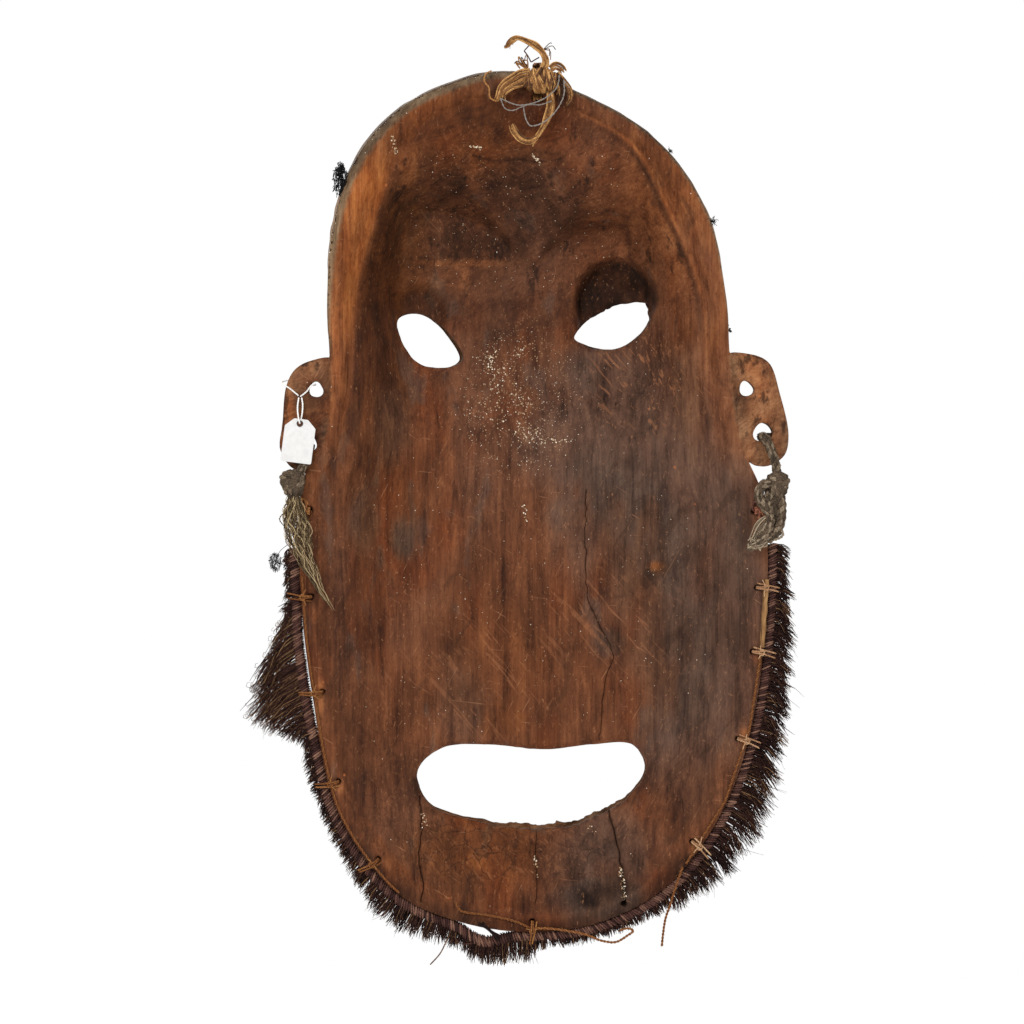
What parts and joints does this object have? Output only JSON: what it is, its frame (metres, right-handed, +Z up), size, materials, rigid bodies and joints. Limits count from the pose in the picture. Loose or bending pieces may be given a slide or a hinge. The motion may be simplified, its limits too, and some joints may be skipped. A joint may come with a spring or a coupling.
{
  "type": "carved wooden mask",
  "caption": "Tall hollow-backed carved wooden mask with pierced eyes, mouth and ear lugs, ear ropes, a fibre fringe lashed round the lower rim and a bark hanger.",
  "frame": {"origin": "hanging point on the wall plane, behind the crown, under the bark hanger's knot", "axes": "+Z up the face, +Y out of the hollow back towards the wall, -Y out of the face"},
  "size_m": [0.4483, 0.1155, 0.7552],
  "materials": {
    "wood": "oiled, worn at the edges",
    "bark_strip": "dry, fibrous",
    "fringe_fibre": "matt",
    "cord": "twisted, matt",
    "rope": "coarse, frayed",
    "cane": "satin",
    "cotton": "matt",
    "card": "matt",
    "wire": "dull",
    "fluff": "matt"
  },
  "bodies": {
    "mask": {"mask_body": "wood", "bark_tie_left": "bark_strip", "bark_tie_right": "bark_strip", "hanger_strap": "bark_strip", "hanger_knot": "bark_strip", "hanger_left_loop": "bark_strip", "hanger_right_strand": "bark_strip", "hanger_upper_tail": "bark_strip", "hanger_lower_tail": "bark_strip", "fringe_header_left": "fringe_fibre", "fringe_header_bottom": "fringe_fibre", "fringe_header_right": "fringe_fibre", "fringe_left_upper": "fringe_fibre", "fringe_left_flare": "fringe_fibre", "fringe_left_lower": "fringe_fibre", "fringe_bottom_left": "fringe_fibre", "fringe_bottom": "fringe_fibre", "fringe_bottom_right": "fringe_fibre", "fringe_right_lower": "fringe_fibre", "fringe_right_middle": "fringe_fibre", "fringe_right_upper": "fringe_fibre", "lashing_1": "cord", "lashing_2": "cord", "lashing_3": "cord", "lashing_4": "cord", "lashing_5": "cord", "lashing_6": "cord", "lashing_7": "cord", "lashing_8": "cord", "lashing_9": "cord", "rim_cord_left": "cord", "rim_cord_bottom": "cord", "rim_cord_bottom_tail": "cord", "rim_cord_right": "cord", "rim_cord_right_tail": "cord", "cane_strip_right": "cane", "tag_string_ring": "cotton", "hanger_string": "cord", "hanger_wire_upper": "wire", "hanger_wire_lower": "wire", "fluff_tuft_crown": "fluff", "fluff_tuft_left": "fluff"},
    "left_ear_rope": {"left_ear_rope": "rope", "left_ear_rope_stopper": "rope", "left_ear_rope_knot": "rope", "left_ear_rope_tail": "rope"},
    "right_ear_rope": {"right_ear_rope": "rope", "right_ear_rope_stopper": "rope", "right_ear_rope_knot": "rope", "right_ear_rope_tail": "rope"},
    "tag": {"tag_string": "cotton", "tag_card": "card"}
  },
  "joints": [
    {"name": "left_ear_rope_swing", "type": "hinge", "parent": "mask", "child": "left_ear_rope", "pos_m": [0.178, -0.015, -0.29], "axis": [0, 1, 0], "range_deg": [-20, 30]},
    {"name": "right_ear_rope_swing", "type": "hinge", "parent": "mask", "child": "right_ear_rope", "pos_m": [-0.185, -0.015, -0.282], "axis": [0, 1, 0], "range_deg": [-30, 20]},
    {"name": "tag_swing", "type": "hinge", "parent": "mask", "child": "tag", "pos_m": [0.1855, -0.0065, -0.2535], "axis": [0, 1, 0], "range_deg": [-35, 35]}
  ]
}
